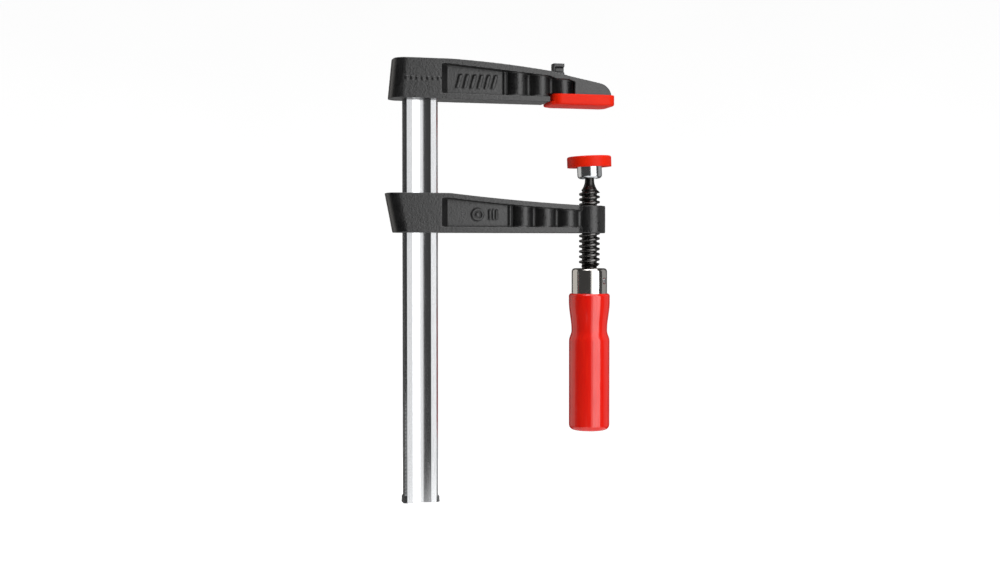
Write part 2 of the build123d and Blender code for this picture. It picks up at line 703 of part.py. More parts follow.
with BuildPart() as plate_cap:
    cap_r = PLATE_CAP_DIAMETER / 2
    cap_bottom = CAP_TOP_TO_BALL - PLATE_CAP_HEIGHT
    with BuildSketch(PLATE_PLANE):
        with BuildLine():
            corner_arc(
                (cap_r - PLATE_CAP_EDGE, CAP_TOP_TO_BALL),
                (cap_r, CAP_TOP_TO_BALL),
                (cap_r, CAP_TOP_TO_BALL - PLATE_CAP_EDGE),
            )
            Polyline(
                (cap_r, CAP_TOP_TO_BALL - PLATE_CAP_EDGE),
                (cap_r, cap_bottom),
                (PLATE_DIAMETER / 2 - PLATE_CAP_SNAP, cap_bottom),
                (PLATE_DIAMETER / 2 - PLATE_CAP_SNAP, plate_bottom),
                (PLATE_DIAMETER / 2, plate_bottom),
                (PLATE_DIAMETER / 2, plate_top),
                (0, plate_top),
                (0, CAP_TOP_TO_BALL),
                (cap_r - PLATE_CAP_EDGE, CAP_TOP_TO_BALL),
            )
        make_face()
    revolve(axis=PLATE_AXIS)

# ---------------------------------------------------------------- ferrule, handle and cross pin

with BuildPart() as ferrule:
    ferrule_r = FERRULE_DIAMETER / 2
    with BuildSketch(Plane.XZ):
        with BuildLine():
            corner_arc(
                (ferrule_r - FERRULE_ROUNDING, FERRULE_TOP_Z),
                (ferrule_r, FERRULE_TOP_Z),
                (ferrule_r, FERRULE_TOP_Z - FERRULE_ROUNDING),
            )
            Polyline(
                (ferrule_r, FERRULE_TOP_Z - FERRULE_ROUNDING),
                (ferrule_r, FERRULE_BOTTOM_Z),
                (SPIGOT_R, FERRULE_BOTTOM_Z),
                (SPIGOT_R, SPIGOT_TOP_Z),
                (CORE_R, SPIGOT_TOP_Z),
                (CORE_R, FERRULE_TOP_Z),
                (ferrule_r - FERRULE_ROUNDING, FERRULE_TOP_Z),
            )
        make_face()
    revolve(axis=Axis.Z)
    pin_hole()

with BuildPart() as handle:
    collar_r = COLLAR_DIAMETER / 2
    barrel_r = BARREL_DIAMETER / 2
    waist = (WAIST_DIAMETER / 2, FERRULE_BOTTOM_Z - WAIST_DROP)
    with BuildSketch(Plane.XZ):
        with BuildLine():
            Polyline(
                (CORE_R, TANG_END_Z),
                (CORE_R, SPIGOT_TOP_Z),
                (SPIGOT_R, SPIGOT_TOP_Z),
                (SPIGOT_R, FERRULE_BOTTOM_Z),
                (collar_r - COLLAR_ROUNDING, FERRULE_BOTTOM_Z),
            )
            corner_arc(
                (collar_r - COLLAR_ROUNDING, FERRULE_BOTTOM_Z),
                (collar_r, FERRULE_BOTTOM_Z),
                (collar_r, FERRULE_BOTTOM_Z - COLLAR_ROUNDING),
            )
            Line(
                (collar_r, FERRULE_BOTTOM_Z - COLLAR_ROUNDING),
                (collar_r, FERRULE_BOTTOM_Z - COLLAR_LENGTH),
            )
            Spline((collar_r, FERRULE_BOTTOM_Z - COLLAR_LENGTH), waist, tangents=[(0, -1), (0, -1)])
            Spline(waist, (barrel_r, FERRULE_BOTTOM_Z - SHOULDER_DROP), tangents=[(0, -1), (0, -1)])
            Line(
                (barrel_r, FERRULE_BOTTOM_Z - SHOULDER_DROP),
                (barrel_r, HANDLE_BOTTOM_Z + HANDLE_END_ROUNDING),
            )
            corner_arc(
                (barrel_r, HANDLE_BOTTOM_Z + HANDLE_END_ROUNDING),
                (barrel_r, HANDLE_BOTTOM_Z),
                (barrel_r - HANDLE_END_ROUNDING, HANDLE_BOTTOM_Z),
            )
            Polyline(
                (barrel_r - HANDLE_END_ROUNDING, HANDLE_BOTTOM_Z),
                (0, HANDLE_BOTTOM_Z),
                (0, TANG_END_Z),
                (CORE_R, TANG_END_Z),
            )
        make_face()
    revolve(axis=Axis.Z)
    pin_hole()

with BuildPart() as cross_pin:
    with BuildSketch(PIN_PLANE):
        Circle(PIN_DIAMETER / 2)
    extrude(amount=FERRULE_DIAMETER / 2 - PIN_SUNK, both=True)

# ---------------------------------------------------------------- names and files

os.makedirs("parts", exist_ok=True)

rail.part.label = "rail"
fixed_arm.part.label = "fixed_arm"
jaw_cap.part.label = "jaw_cap"
sliding_arm.part.label = "sliding_arm"
spindle.part.label = "spindle"
pressure_plate.part.label = "pressure_plate"
snap_ring.part.label = "snap_ring"
plate_cap.part.label = "plate_cap"
ferrule.part.label = "ferrule"
handle.part.label = "handle"
cross_pin.part.label = "cross_pin"

export_step(rail.part, "parts/rail.step")
export_step(fixed_arm.part, "parts/fixed_arm.step")
export_step(jaw_cap.part, "parts/jaw_cap.step")
export_step(sliding_arm.part, "parts/sliding_arm.step")
export_step(spindle.part, "parts/spindle.step")
export_step(pressure_plate.part, "parts/pressure_plate.step")
export_step(snap_ring.part, "parts/snap_ring.step")
export_step(plate_cap.part, "parts/plate_cap.step")
export_step(ferrule.part, "parts/ferrule.step")
export_step(handle.part, "parts/handle.step")
export_step(cross_pin.part, "parts/cross_pin.step")
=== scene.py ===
import math

import bmesh
import bpy
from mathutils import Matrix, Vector


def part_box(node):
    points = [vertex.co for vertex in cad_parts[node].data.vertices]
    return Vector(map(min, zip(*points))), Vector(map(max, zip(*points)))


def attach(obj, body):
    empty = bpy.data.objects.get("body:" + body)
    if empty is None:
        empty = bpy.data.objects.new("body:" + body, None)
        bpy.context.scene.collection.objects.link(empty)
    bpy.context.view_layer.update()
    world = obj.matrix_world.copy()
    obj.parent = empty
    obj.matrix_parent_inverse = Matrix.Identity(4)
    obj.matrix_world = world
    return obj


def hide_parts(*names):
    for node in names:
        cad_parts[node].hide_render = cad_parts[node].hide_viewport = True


# Looks of a screw clamp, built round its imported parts. Everything is in metres, in the frame
# of the parts: the screw turns about the Z axis and the rail stands at its side, towards -X.

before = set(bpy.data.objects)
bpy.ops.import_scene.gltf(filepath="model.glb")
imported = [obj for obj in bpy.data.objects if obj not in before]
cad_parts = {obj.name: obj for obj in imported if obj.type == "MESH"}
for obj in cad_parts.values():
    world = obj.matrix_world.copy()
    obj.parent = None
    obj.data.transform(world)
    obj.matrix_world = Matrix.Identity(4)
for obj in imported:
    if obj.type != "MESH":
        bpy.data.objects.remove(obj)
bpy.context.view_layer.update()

MM = 0.001
FULL_TURN = 2 * math.pi

# ---------------------------------------------------------------- sizes

# Distances at which points are welded together, and are taken to be level
COPY_WELD = 0.001 * MM
TURNED_WELD = 0.002 * MM
THREAD_WELD = 0.004 * MM
LEVEL_SLACK = 0.01 * MM

# Castings
CASTING_VOXEL = 0.52 * MM
CASTING_SMOOTHING = 2
SAND_SIZE = 1.4 * MM
SAND_HEIGHT = 0.15 * MM

# Rail
RAIL_CHAMFER = 1.5 * MM
TROUGH_HALF = 7.0 * MM
TROUGH_FLOOR_HALF = 0.5 * MM
TROUGH_DEPTH = 1.2 * MM
TROUGH_STEPS = 16
TOOTH_PITCH = 1.0 * MM
TOOTH_DEPTH = 0.22 * MM
TOOTH_TIP_SHARE = 0.35
TOOTH_ROOT_SHARE = 0.6
STOP_LENGTH = 5.4 * MM
STOP_SWELL = 1.0 * MM
STOP_TAPER = 2.4 * MM
STOP_INSET = 1.2 * MM

# Cap on the fixed jaw
CAP_FLOOR = 2.0 * MM
CAP_WALL = 2.5 * MM
CAP_FRONT_WALL = 3.0 * MM
CAP_LIP = 1.6 * MM
CAP_LIP_THICKNESS = 2.4 * MM
CAP_CORNER = 6.5 * MM
CAP_LIP_CORNER = 4.0 * MM
CAP_EDGE = 1.5 * MM
CAP_ARRIS = 0.45 * MM

# Screw
THREAD_PITCH = 4.0 * MM
THREAD_RADIUS = 8.0 * MM
CORE_RADIUS = 5.75 * MM
CREST_HALF = 0.732 * MM
CREST_ROUNDING = 0.22 * MM
FLANK_ANGLE = math.radians(15)
THREAD_STEPS = 96
THREAD_TURNS = 17
BALL_CENTRE = -49.0 * MM
BALL_RADIUS = 5.7 * MM
BALL_FLAT = 5.0 * MM
NECK_RADIUS = 3.55 * MM
NECK_LENGTH = 6.5 * MM
CONE_LENGTH = 7.5 * MM
THREAD_RUN_OUT = 1.0 * MM
THREAD_SINK = 0.15 * MM  # of the plain core under the threaded one
SHANK_CHAMFER = NECK_RADIUS / 4
NECK_FLARE_POWER = 2.2

# Pressure plate and its cap
PLATE_LEAN = math.radians(-2.4)
PLATE_RADIUS = 14.5 * MM
PLATE_THICKNESS = 3.0 * MM
CUP_RADIUS = 9.5 * MM
CUP_DEPTH = 5.9 * MM
CUP_WALL_ROUNDING = 2.7 * MM
CUP_MOUTH = 5.9 * MM
MOUTH_CHAMFER = 0.8 * MM
PLATE_ARRIS = 0.3 * MM
SEAT_RADIUS = 5.75 * MM
RING_POCKET_RADIUS = 7.04 * MM
CAP_RADIUS = 17.0 * MM
CAP_TOP = 11.3 * MM  # above the ball's centre
PLATE_CAP_HEIGHT = 8.3 * MM
PLATE_CAP_WEB = 2.5 * MM
PLATE_CAP_SNAP = 1.3 * MM
DISH_DEPTH = 0.35 * MM
DISH_RIM = 1.6 * MM
PLATE_CAP_ROUNDING = 1.4 * MM
PLATE_CAP_ARRIS = 0.4 * MM

# Ferrule, pin and handle
FERRULE_WALL = 1.5 * MM
FERRULE_ROUNDING = 2.5 * MM
FERRULE_CLEARANCE = 0.05 * MM
FERRULE_ARRIS = 0.25 * MM
PIN_RADIUS = 2.0 * MM
PIN_RELIEF = 0.5 * MM  # of the ferrule, round the pin
PIN_ROUNDING = 0.5 * MM
PIN_ANGLE = math.radians(39)  # from -Y towards +X
COLLAR_LENGTH = 6.0 * MM
COLLAR_ROUNDING = 2.0 * MM
WAIST_RADIUS = 13.75 * MM
WAIST_DROP = 28.6 * MM
SHOULDER_DROP = 36.5 * MM
BARREL_RADIUS = 15.65 * MM
HANDLE_END_ROUNDING = 4.0 * MM
TURNED_STEPS = 144


# ---------------------------------------------------------------- shaping helpers

def deselect():
    """Leaves nothing selected, so that the next operator acts on its own piece alone."""
    for thing in bpy.context.selected_objects:
        thing.select_set(False)


def make_active(piece):
    """Selects one piece alone."""
    deselect()
    piece.select_set(True)
    bpy.context.view_layer.objects.active = piece


def settle(piece):
    """Moves a piece's place, turn and size into its mesh."""
    make_active(piece)
    bpy.ops.object.transform_apply(location=True, rotation=True, scale=True)


def apply_modifier(piece, kind, **settings):
    """Adds one modifier to a piece and applies it."""
    make_active(piece)
    modifier = piece.modifiers.new(kind.lower(), kind)
    for name, value in settings.items():
        setattr(modifier, name, value)
    bpy.ops.object.modifier_apply(modifier=modifier.name)


def new_piece(name, bm):
    """Turns mesh work into an object."""
    mesh = bpy.data.meshes.new(name)
    bm.to_mesh(mesh)
    bm.free()
    piece = bpy.data.objects.new(name, mesh)
    bpy.context.scene.collection.objects.link(piece)
    return piece


def merged_copy(node, name):
    """A copy of a part's mesh with its loose triangles joined up."""
    bm = bmesh.new()
    bm.from_mesh(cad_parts[node].data)
    bmesh.ops.remove_doubles(bm, verts=bm.verts, dist=COPY_WELD)
    return new_piece(name, bm)


def cut_away(piece, tool, operation="DIFFERENCE"):
    """Cuts a tool from a piece, or joins it on, and throws the tool away."""
    apply_modifier(piece, "BOOLEAN", object=tool, operation=operation, solver="EXACT")
    bpy.data.objects.remove(tool)


def soften_edges(piece, width, segments=3, angle=40):
    """Rounds the sharp edges of a piece and shades the rest smooth."""
    apply_modifier(
        piece, "BEVEL", width=width, segments=segments, limit_method="ANGLE", angle_limit=math.radians(angle)
    )
    shade_smooth(piece, angle)


def shade_smooth(piece, angle=40):
    """Shades a piece smooth, but for edges sharper than an angle in degrees."""
    make_active(piece)
    bpy.ops.object.shade_smooth_by_angle(angle=math.radians(angle))


def arc(centre, radius, start, end, steps):
    """Points on an arc, with angles in degrees, both ends included."""
    turns = [math.radians(start + (end - start) * step / steps) for step in range(steps + 1)]
    return [(centre[0] + radius * math.cos(a), centre[1] + radius * math.sin(a)) for a in turns]


def ease(start, end, steps):
    """Points on an S-shaped line that leaves and arrives along Z."""
    points = []
    for step in range(1, steps + 1):
        share = step / steps
        blend = (1 - math.cos(math.pi * share)) / 2
        points.append((start[0] + (end[0] - start[0]) * blend, start[1] + (end[1] - start[1]) * share))
    return points


def flare(start, end, steps):
    """Points on a hollow curve that leaves along Z and spreads towards its end."""
    points = []
    for step in range(steps + 1):
        share = step / steps
        spread = share**NECK_FLARE_POWER
        points.append((start[0] + (end[0] - start[0]) * spread, start[1] + (end[1] - start[1]) * share))
    return points


def turned(name, outline, closed=False):
    """A piece turned about the Z axis from an outline of (radius, height) points."""
    bm = bmesh.new()
    corners = [bm.verts.new((radius, 0, height)) for radius, height in outline]
    for a, b in zip(corners, corners[1:] + corners[:1] if closed else corners[1:]):
        bm.edges.new((a, b))
    piece = new_piece(name, bm)
    make_active(piece)
    bpy.ops.object.mode_set(mode="EDIT")
    bpy.ops.mesh.select_all(action="SELECT")
    bpy.ops.mesh.spin(steps=TURNED_STEPS, angle=FULL_TURN, center=(0, 0, 0), axis=(0, 0, 1))
    bpy.ops.mesh.select_all(action="SELECT")
    bpy.ops.mesh.remove_doubles(threshold=TURNED_WELD)
    bpy.ops.mesh.normals_make_consistent(inside=False)
    bpy.ops.object.mode_set(mode="OBJECT")
    return piece


def place(piece, body, slot, material, *nodes):
    """Gives a finished piece its material and its body, and hides the parts that it stands for."""
    piece.data.materials.clear()
    piece.data.materials.append(material)
    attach(piece, body)
    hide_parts(*nodes)


# ---------------------------------------------------------------- material helpers

# Colour sockets of the Mix node, by number
MIX_FIRST = 6
MIX_SECOND = 7
MIX_RESULT = 2


class Signal:
    """A shader socket. Arithmetic on it adds Math nodes."""

    def __init__(self, finish, socket):
        self.finish = finish
        self.socket = socket

    def maths(self, operation, *values):
        """Adds one Math node."""
        return self.finish.node("ShaderNodeMath", {"operation": operation}, dict(enumerate(values)))

    def __add__(self, other):
        return self.maths("ADD", self, other)

    def __mul__(self, other):
        return self.maths("MULTIPLY", self, other)

    def __pow__(self, other):
        return self.maths("POWER", self, other)


class Finish:
    """One material, with its shader's plain values set and its nodes made by one method."""

    def __init__(self, name, **plain):
        self.material = bpy.data.materials.new(name)
        self.material.use_nodes = True
        self.nodes = self.material.node_tree.nodes
        self.links = self.material.node_tree.links
        self.shader = next(n for n in self.nodes if n.type == "BSDF_PRINCIPLED")
        for socket, value in plain.items():
            self.shader.inputs[socket.replace("_", " ")].default_value = value

    def node(self, kind, settings, sockets, output=0):
        """Makes a node, sets it up, fills its sockets and gives one of its outputs."""
        made = self.nodes.new(kind)
        for name, value in settings.items():
            setattr(made, name, value)
        for key, value in sockets.items():
            if isinstance(value, Signal):
                self.links.new(value.socket, made.inputs[key])
            else:
                made.inputs[key].default_value = value
        return Signal(self, made.outputs[output])

    def feed(self, socket, signal):
        """Links a signal to one of the shader's sockets."""
        self.links.new(signal.socket, self.shader.inputs[socket])

    def place(self, stretch=(1, 1, 1)):
        """The piece's own coordinates, in metres, stretched per axis."""
        own = self.node("ShaderNodeTexCoord", {}, {}, "Object")
        return self.node("ShaderNodeMapping", {}, {"Vector": own, "Scale": stretch})

    def noise(self, size, detail=3.0, roughness=0.55, stretch=(1, 1, 1)):
        """Cloudy noise from 0 to 1 with lumps of that size, in metres."""
        values = {"Vector": self.place(stretch), "Scale": 1 / size, "Detail": detail, "Roughness": roughness}
        return self.node("ShaderNodeTexNoise", {}, values)

    def axis_distance(self):
        """Distance from the screw's axis."""
        parts = self.node("ShaderNodeSeparateXYZ", {}, {"Vector": self.place()}, "X")
        across = Signal(self, parts.socket.node.outputs["Y"])
        return (parts * parts + across * across) ** 0.5

    def between(self, signal, low, high, to_low, to_high):
        """Maps a signal from one range to another, held at both ends."""
        values = {"Value": signal, "From Min": low, "From Max": high, "To Min": to_low, "To Max": to_high}
        return self.node("ShaderNodeMapRange", {}, values)

    def tint(self, signal, low, high):
        """A colour between two, by a signal from 0 to 1. The first may be a signal itself."""
        first = low if isinstance(low, Signal) else (*low, 1)
        values = {"Factor": signal, MIX_FIRST: first, MIX_SECOND: (*high, 1)}
        return self.node("ShaderNodeMix", {"data_type": "RGBA"}, values, MIX_RESULT)

    def bump(self, height, depth, strength=1.0):
        """Feeds a height, from 0 to 1, to the shader as relief of that depth."""
        values = {"Height": height, "Distance": depth, "Strength": strength}
        self.feed("Normal", self.node("ShaderNodeBump", {}, values))


# ---------------------------------------------------------------- materials

def black_casting():
    """Stove-enamelled iron with the grain of the sand mould, and a highlight painted lighter along its edges.
    """
    finish = Finish("black_casting", Specular_IOR_Level=0.85)
    sand = finish.noise(1.3 * MM, detail=4.0, roughness=0.65)
    patches = finish.noise(7 * MM, detail=3.0)
    pore_values = {"Vector": finish.place(), "Scale": 1 / (0.9 * MM)}
    pores = finish.node("ShaderNodeTexVoronoi", {}, pore_values, "Distance")
    edges = finish.node("ShaderNodeNewGeometry", {}, {}, "Pointiness")
    # Painted highlight: sharp edges, found by pointiness, get a lighter grey in the base colour
    edge_highlight = finish.between(edges, 0.515, 0.56, 0, 1)
    shade = finish.between(sand * 0.7 + patches * 0.3, 0.35, 0.65, 0, 1)
    coat = finish.tint(shade, (0.002, 0.002, 0.0022), (0.015, 0.015, 0.0155))
    finish.feed("Base Color", finish.tint(edge_highlight * 0.55, coat, (0.07, 0.07, 0.073)))
    hollow = finish.between(edges, 0.44, 0.496, 0.5, 0)
    finish.feed("Roughness", finish.between(sand + patches * 0.5, 0.5, 1.0, 0.25, 0.42) + hollow)
    finish.bump(sand * 0.75 + pores * 0.25, 0.22 * MM, 0.9)
    return finish.material


def drawn_steel():
    """Bright cold-drawn bar with fine lines along its length."""
    finish = Finish("drawn_steel", Metallic=1.0)
    lines = finish.noise(0.35 * MM, detail=4.0, stretch=(1, 1, 0.02))
    smears = finish.noise(9 * MM, detail=2.0, stretch=(1, 1, 0.15))
    finish.feed("Base Color", finish.tint(lines * 0.6 + smears * 0.4, (0.66, 0.67, 0.69), (0.86, 0.87, 0.88)))
    finish.feed("Roughness", finish.between(lines * 0.7 + smears * 0.3, 0.3, 0.7, 0.12, 0.22))
    finish.bump(lines, 0.012 * MM, 0.6)
    return finish.material


def red_plastic():
    """Moulded orange-red plastic with a faint stipple."""
    finish = Finish("red_plastic", Specular_IOR_Level=0.18)
    stipple = finish.noise(0.5 * MM, detail=3.0)
    flow = finish.noise(6 * MM, detail=2.0)
    finish.feed("Base Color", finish.tint(flow, (0.90, 0.014, 0.001), (0.98, 0.026, 0.003)))
    finish.feed("Roughness", finish.between(stipple, 0.3, 0.7, 0.36, 0.50))
    finish.bump(stipple, 0.03 * MM, 0.5)
    return finish.material


def red_lacquer():
    """Clear-coated red wood: the grain shows as faint darker streaks and shallow pores."""
    finish = Finish("red_lacquer", Coat_Roughness=0.13, Coat_IOR=1.8, Specular_IOR_Level=0.08)
    grain = finish.noise(1.6 * MM, detail=5.0, stretch=(1, 1, 0.06))
    pores = finish.noise(0.5 * MM, detail=2.0, stretch=(1, 1, 0.05))
    waves = finish.noise(12 * MM, detail=2.0, stretch=(1, 1, 0.4))
    streak = finish.between(grain * 0.6 + waves * 0.4, 0.35, 0.65, 0, 1)
    finish.feed("Base Color", finish.tint(streak, (0.90, 0.006, 0.001), (1.0, 0.014, 0.002)))
    finish.feed("Roughness", finish.between(pores, 0.35, 0.65, 0.32, 0.48))
    finish.feed("Coat Weight", finish.between(waves, 0.3, 0.7, 0.75, 0.95))
    finish.bump(grain * 0.5 + pores * 0.5, 0.05 * MM, 0.35)
    return finish.material


def turned_metal(name, low, high, smooth, rough, line_size):
    """Plated steel with the fine rings that a lathe leaves."""
    finish = Finish(name, Metallic=1.0)
    rings = finish.noise(line_size, detail=2.0, stretch=(0.05, 0.05, 1))
    clouds = finish.noise(5 * MM, detail=3.0)
    finish.feed("Base Color", finish.tint(clouds, low, high))
    finish.feed("Roughness", finish.between(rings * 0.5 + clouds * 0.5, 0.3, 0.7, smooth, rough))
    finish.bump(rings, 0.006 * MM, 0.5)
    return finish.material


def black_screw_steel():
    """Oiled black steel, rubbed brighter on the thread's crests."""
    finish = Finish("black_screw_steel", Metallic=1.0)
    scale = finish.noise(1.2 * MM, detail=4.0)
    crest = finish.between(finish.axis_distance(), THREAD_RADIUS - 0.35 * MM, THREAD_RADIUS, 0, 1)
    black = finish.tint(scale, (0.035, 0.034, 0.033), (0.085, 0.082, 0.08))
    rubbed = crest * finish.between(scale, 0.35, 0.6, 0.2, 0.7)
    finish.feed("Base Color", finish.tint(rubbed, black, (0.25, 0.245, 0.24)))
    finish.feed("Roughness", finish.between(scale, 0.3, 0.7, 0.20, 0.36))
    finish.bump(scale, 0.03 * MM, 0.5)
    return finish.material


def studio_white():
    """Pale floor and backdrop."""
    finish = Finish("studio_white", Roughness=0.9, Emission_Strength=0.90)
    tone = finish.noise(0.4, detail=1.0)
    finish.feed("Base Color", finish.tint(tone, (0.80, 0.80, 0.80), (0.82, 0.82, 0.82)))
    finish.feed("Emission Color", finish.tint(tone, (0.98, 0.98, 0.98), (1.0, 1.0, 1.0)))
    return finish.material


CASTING = black_casting()
STEEL = drawn_steel()
PLASTIC = red_plastic()
LACQUER = red_lacquer()
NICKEL = turned_metal("polished_nickel", (0.74, 0.71, 0.67), (0.84, 0.81, 0.77), 0.07, 0.16, 0.30 * MM)
ZINC = turned_metal("turned_zinc", (0.76, 0.79, 0.82), (0.88, 0.90, 0.92), 0.10, 0.22, 0.25 * MM)
SPRING = turned_metal("spring_steel", (0.40, 0.40, 0.41), (0.52, 0.52, 0.53), 0.22, 0.36, 0.40 * MM)
SCREW = black_screw_steel()


# ---------------------------------------------------------------- castings

def casting(node, name):
    """A cast arm: the part's shape with its edges melted round and the mould's sand in its skin."""
    piece = merged_copy(node, name)
    apply_modifier(piece, "REMESH", mode="VOXEL", voxel_size=CASTING_VOXEL, adaptivity=0)
    apply_modifier(piece, "SMOOTH", factor=0.5, iterations=CASTING_SMOOTHING)
    sand = bpy.data.textures.new(name + "_sand", "CLOUDS")
    sand.noise_scale = SAND_SIZE
    sand.noise_depth = 2
    apply_modifier(
        piece, "DISPLACE", texture=sand, texture_coords="LOCAL", strength=SAND_HEIGHT, mid_level=0.5
    )
    shade_smooth(piece, 180)
    return piece


place(casting("fixed_arm", "fixed_casting"), "frame", "arm_iron", CASTING, "fixed_arm")
place(casting("sliding_arm", "sliding_casting"), "sliding_arm", "arm_iron", CASTING, "sliding_arm")


# ---------------------------------------------------------------- rail

def rail_outline():
    """Half of the rail's section, from the middle of one narrow edge to the other, at +Y."""
    low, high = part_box("rail")
    half_width = (high.x - low.x) / 2 - STOP_SWELL
    half_thickness = (high.y - low.y) / 2
    run = TROUGH_HALF - TROUGH_FLOOR_HALF
    wall_slope = 2 * math.atan2(TROUGH_DEPTH, run)
    wall_radius = run / math.sin(wall_slope)
    floor = half_thickness - TROUGH_DEPTH
    centre = (TROUGH_FLOOR_HALF, floor + wall_radius)
    wall = arc(centre, wall_radius, -90, -90 + math.degrees(wall_slope), TROUGH_STEPS)
    right = [*wall, (half_width - RAIL_CHAMFER, half_thickness), (half_width, half_thickness - RAIL_CHAMFER)]
    left = [(-x, y) for x, y in reversed(right)]
    return left + right


def rail_bar():
    """The rail, with fine teeth across both narrow edges for the sliding arm to bite on."""
    low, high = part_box("rail")
    centre = (low + high) / 2
    half_width = (high.x - low.x) / 2 - STOP_SWELL
    upper = rail_outline()
    ring = upper + [(x, -y) for x, y in reversed(upper)]
    toothed_length = high.z - low.z - STOP_LENGTH
    tooth_count = round(toothed_length / TOOTH_PITCH)
    levels = [(low.z, -STOP_INSET), (low.z + STOP_TAPER, STOP_SWELL)]
    levels += [(low.z + STOP_LENGTH - STOP_SWELL, STOP_SWELL), (low.z + STOP_LENGTH, 0)]
    for tooth in range(tooth_count):
        foot = low.z + STOP_LENGTH + tooth * toothed_length / tooth_count
        levels.append((foot + TOOTH_PITCH * TOOTH_TIP_SHARE, 0))
        levels.append((foot + TOOTH_PITCH * TOOTH_ROOT_SHARE, -TOOTH_DEPTH))
        levels.append((foot + TOOTH_PITCH, 0))
    bm = bmesh.new()
    below = None
    for height, swell in levels:
        level = []
        for x, y in ring:
            share = max(0, 1 - (half_width - abs(x)) / RAIL_CHAMFER)
            level.append(bm.verts.new((centre.x + x + math.copysign(swell * share, x), centre.y + y, height)))
        if below:
            for i in range(len(ring)):
                j = (i + 1) % len(ring)
                bm.faces.new((below[i], below[j], level[j], level[i]))
        else:
            bm.faces.new(level)
        below = level
    bm.faces.new(below)
    bmesh.ops.recalc_face_normals(bm, faces=bm.faces)
    piece = new_piece("rail_bar", bm)
    shade_smooth(piece, 12)
    return piece


place(rail_bar(), "frame", "rail_steel", STEEL, "rail")


# ---------------------------------------------------------------- cap on the fixed jaw

def block(name, low, high, corner):
    """A box between two corners, with its four upright edges rounded."""
    bpy.ops.mesh.primitive_cube_add(size=1, location=(low + high) / 2, scale=high - low)
    piece = bpy.context.active_object
    piece.name = name
    settle(piece)
    bm = bmesh.new()
    bm.from_mesh(piece.data)
    upright = [e for e in bm.edges if abs(e.verts[0].co.z - e.verts[1].co.z) > 0.5 * (high.z - low.z)]
    if corner:
        bmesh.ops.bevel(bm, geom=upright, offset=corner, segments=8, profile=0.5, affect="EDGES")
    bm.to_mesh(piece.data)
    bm.free()
    return piece


def round_underside(piece, radius):
    """Rounds the edges round a piece's flat underside."""
    bm = bmesh.new()
    bm.from_mesh(piece.data)
    bmesh.ops.dissolve_limit(bm, angle_limit=math.radians(1), verts=bm.verts, edges=bm.edges)
    lowest = min(v.co.z for v in bm.verts)
    level = [e for e in bm.edges if max(v.co.z for v in e.verts) - lowest < LEVEL_SLACK]
    rim = [e for e in level if e.calc_face_angle(0) > math.radians(45)]
    bmesh.ops.bevel(bm, geom=rim, offset=radius, segments=4, profile=0.5, affect="EDGES")
    bm.to_mesh(piece.data)
    bm.free()


def jaw_cap():
    """Plastic tray that clips round the foot of the fixed arm, with a thin lip running back."""
    low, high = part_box("jaw_cap")
    tray_low = Vector((low.x + CAP_LIP, low.y, low.z))
    piece = block("jaw_tray", tray_low, high, CAP_CORNER)
    lip_end = tray_low.x + CAP_CORNER + CAP_LIP_CORNER
    lip_high = Vector((lip_end, high.y - CAP_WALL, low.z + CAP_LIP_THICKNESS))
    lip = block("lip", Vector((low.x, low.y + CAP_WALL, low.z)), lip_high, CAP_LIP_CORNER)
    cut_away(piece, lip, "UNION")
    room_low = Vector((tray_low.x + CAP_WALL, low.y + CAP_WALL, low.z + CAP_FLOOR))
    room_high = Vector((high.x - CAP_FRONT_WALL, high.y - CAP_WALL, high.z + CAP_FLOOR))
    cut_away(piece, block("room", room_low, room_high, 0))
    round_underside(piece, CAP_EDGE)
    soften_edges(piece, CAP_ARRIS)
    return piece


place(jaw_cap(), "frame", "cap_plastic", PLASTIC, "jaw_cap")


# ---------------------------------------------------------------- screw

def thread_body(bottom, top):
    """Closed helical body of the thread and the core under it, tapered at both ends."""
    root_half = CREST_HALF + (THREAD_RADIUS - CORE_RADIUS) * math.tan(FLANK_ANGLE)
    shoulder = THREAD_RADIUS - CREST_ROUNDING
    start = bottom - THREAD_PITCH / 2
    section = [
        (CORE_RADIUS, -THREAD_PITCH / 2),
        (CORE_RADIUS, -root_half - CREST_ROUNDING / 2),
        (CORE_RADIUS + CREST_ROUNDING, -root_half + CREST_ROUNDING / 4),
        (shoulder, -CREST_HALF - CREST_ROUNDING / 4),
        (THREAD_RADIUS, -CREST_HALF + CREST_ROUNDING),
        (THREAD_RADIUS, CREST_HALF - CREST_ROUNDING),
        (shoulder, CREST_HALF + CREST_ROUNDING / 4),
        (CORE_RADIUS + CREST_ROUNDING, root_half - CREST_ROUNDING / 4),
        (CORE_RADIUS, root_half + CREST_ROUNDING / 2),
        (CORE_RADIUS, THREAD_PITCH / 2),
    ]
    bm = bmesh.new()
    before = None
    for step in range(THREAD_TURNS * THREAD_STEPS + 1):
        turn = step / THREAD_STEPS
        angle = turn * FULL_TURN
        rise = start + turn * THREAD_PITCH
        rib = []
        for radius, height in section:
            z = rise + height
            limit = CORE_RADIUS + max(0, min(z - bottom, top - z))
            reach = min(radius, limit)
            rib.append(bm.verts.new((reach * math.cos(angle), reach * math.sin(angle), z)))
        if before:
            for i in range(len(section) - 1):
                bm.faces.new((before[i], rib[i], rib[i + 1], before[i + 1]))
        before = rib
    bmesh.ops.remove_doubles(bm, verts=bm.verts, dist=THREAD_WELD)
    for height, outward in ((bottom, -1), (top, 1)):
        everything = bm.verts[:] + bm.edges[:] + bm.faces[:]
        bmesh.ops.bisect_plane(
            bm, geom=everything, plane_co=(0, 0, height), plane_no=(0, 0, outward), clear_outer=True
        )
    bmesh.ops.holes_fill(bm, edges=[e for e in bm.edges if e.is_boundary])
    bmesh.ops.recalc_face_normals(bm, faces=bm.faces)
    return new_piece("thread_body", bm)


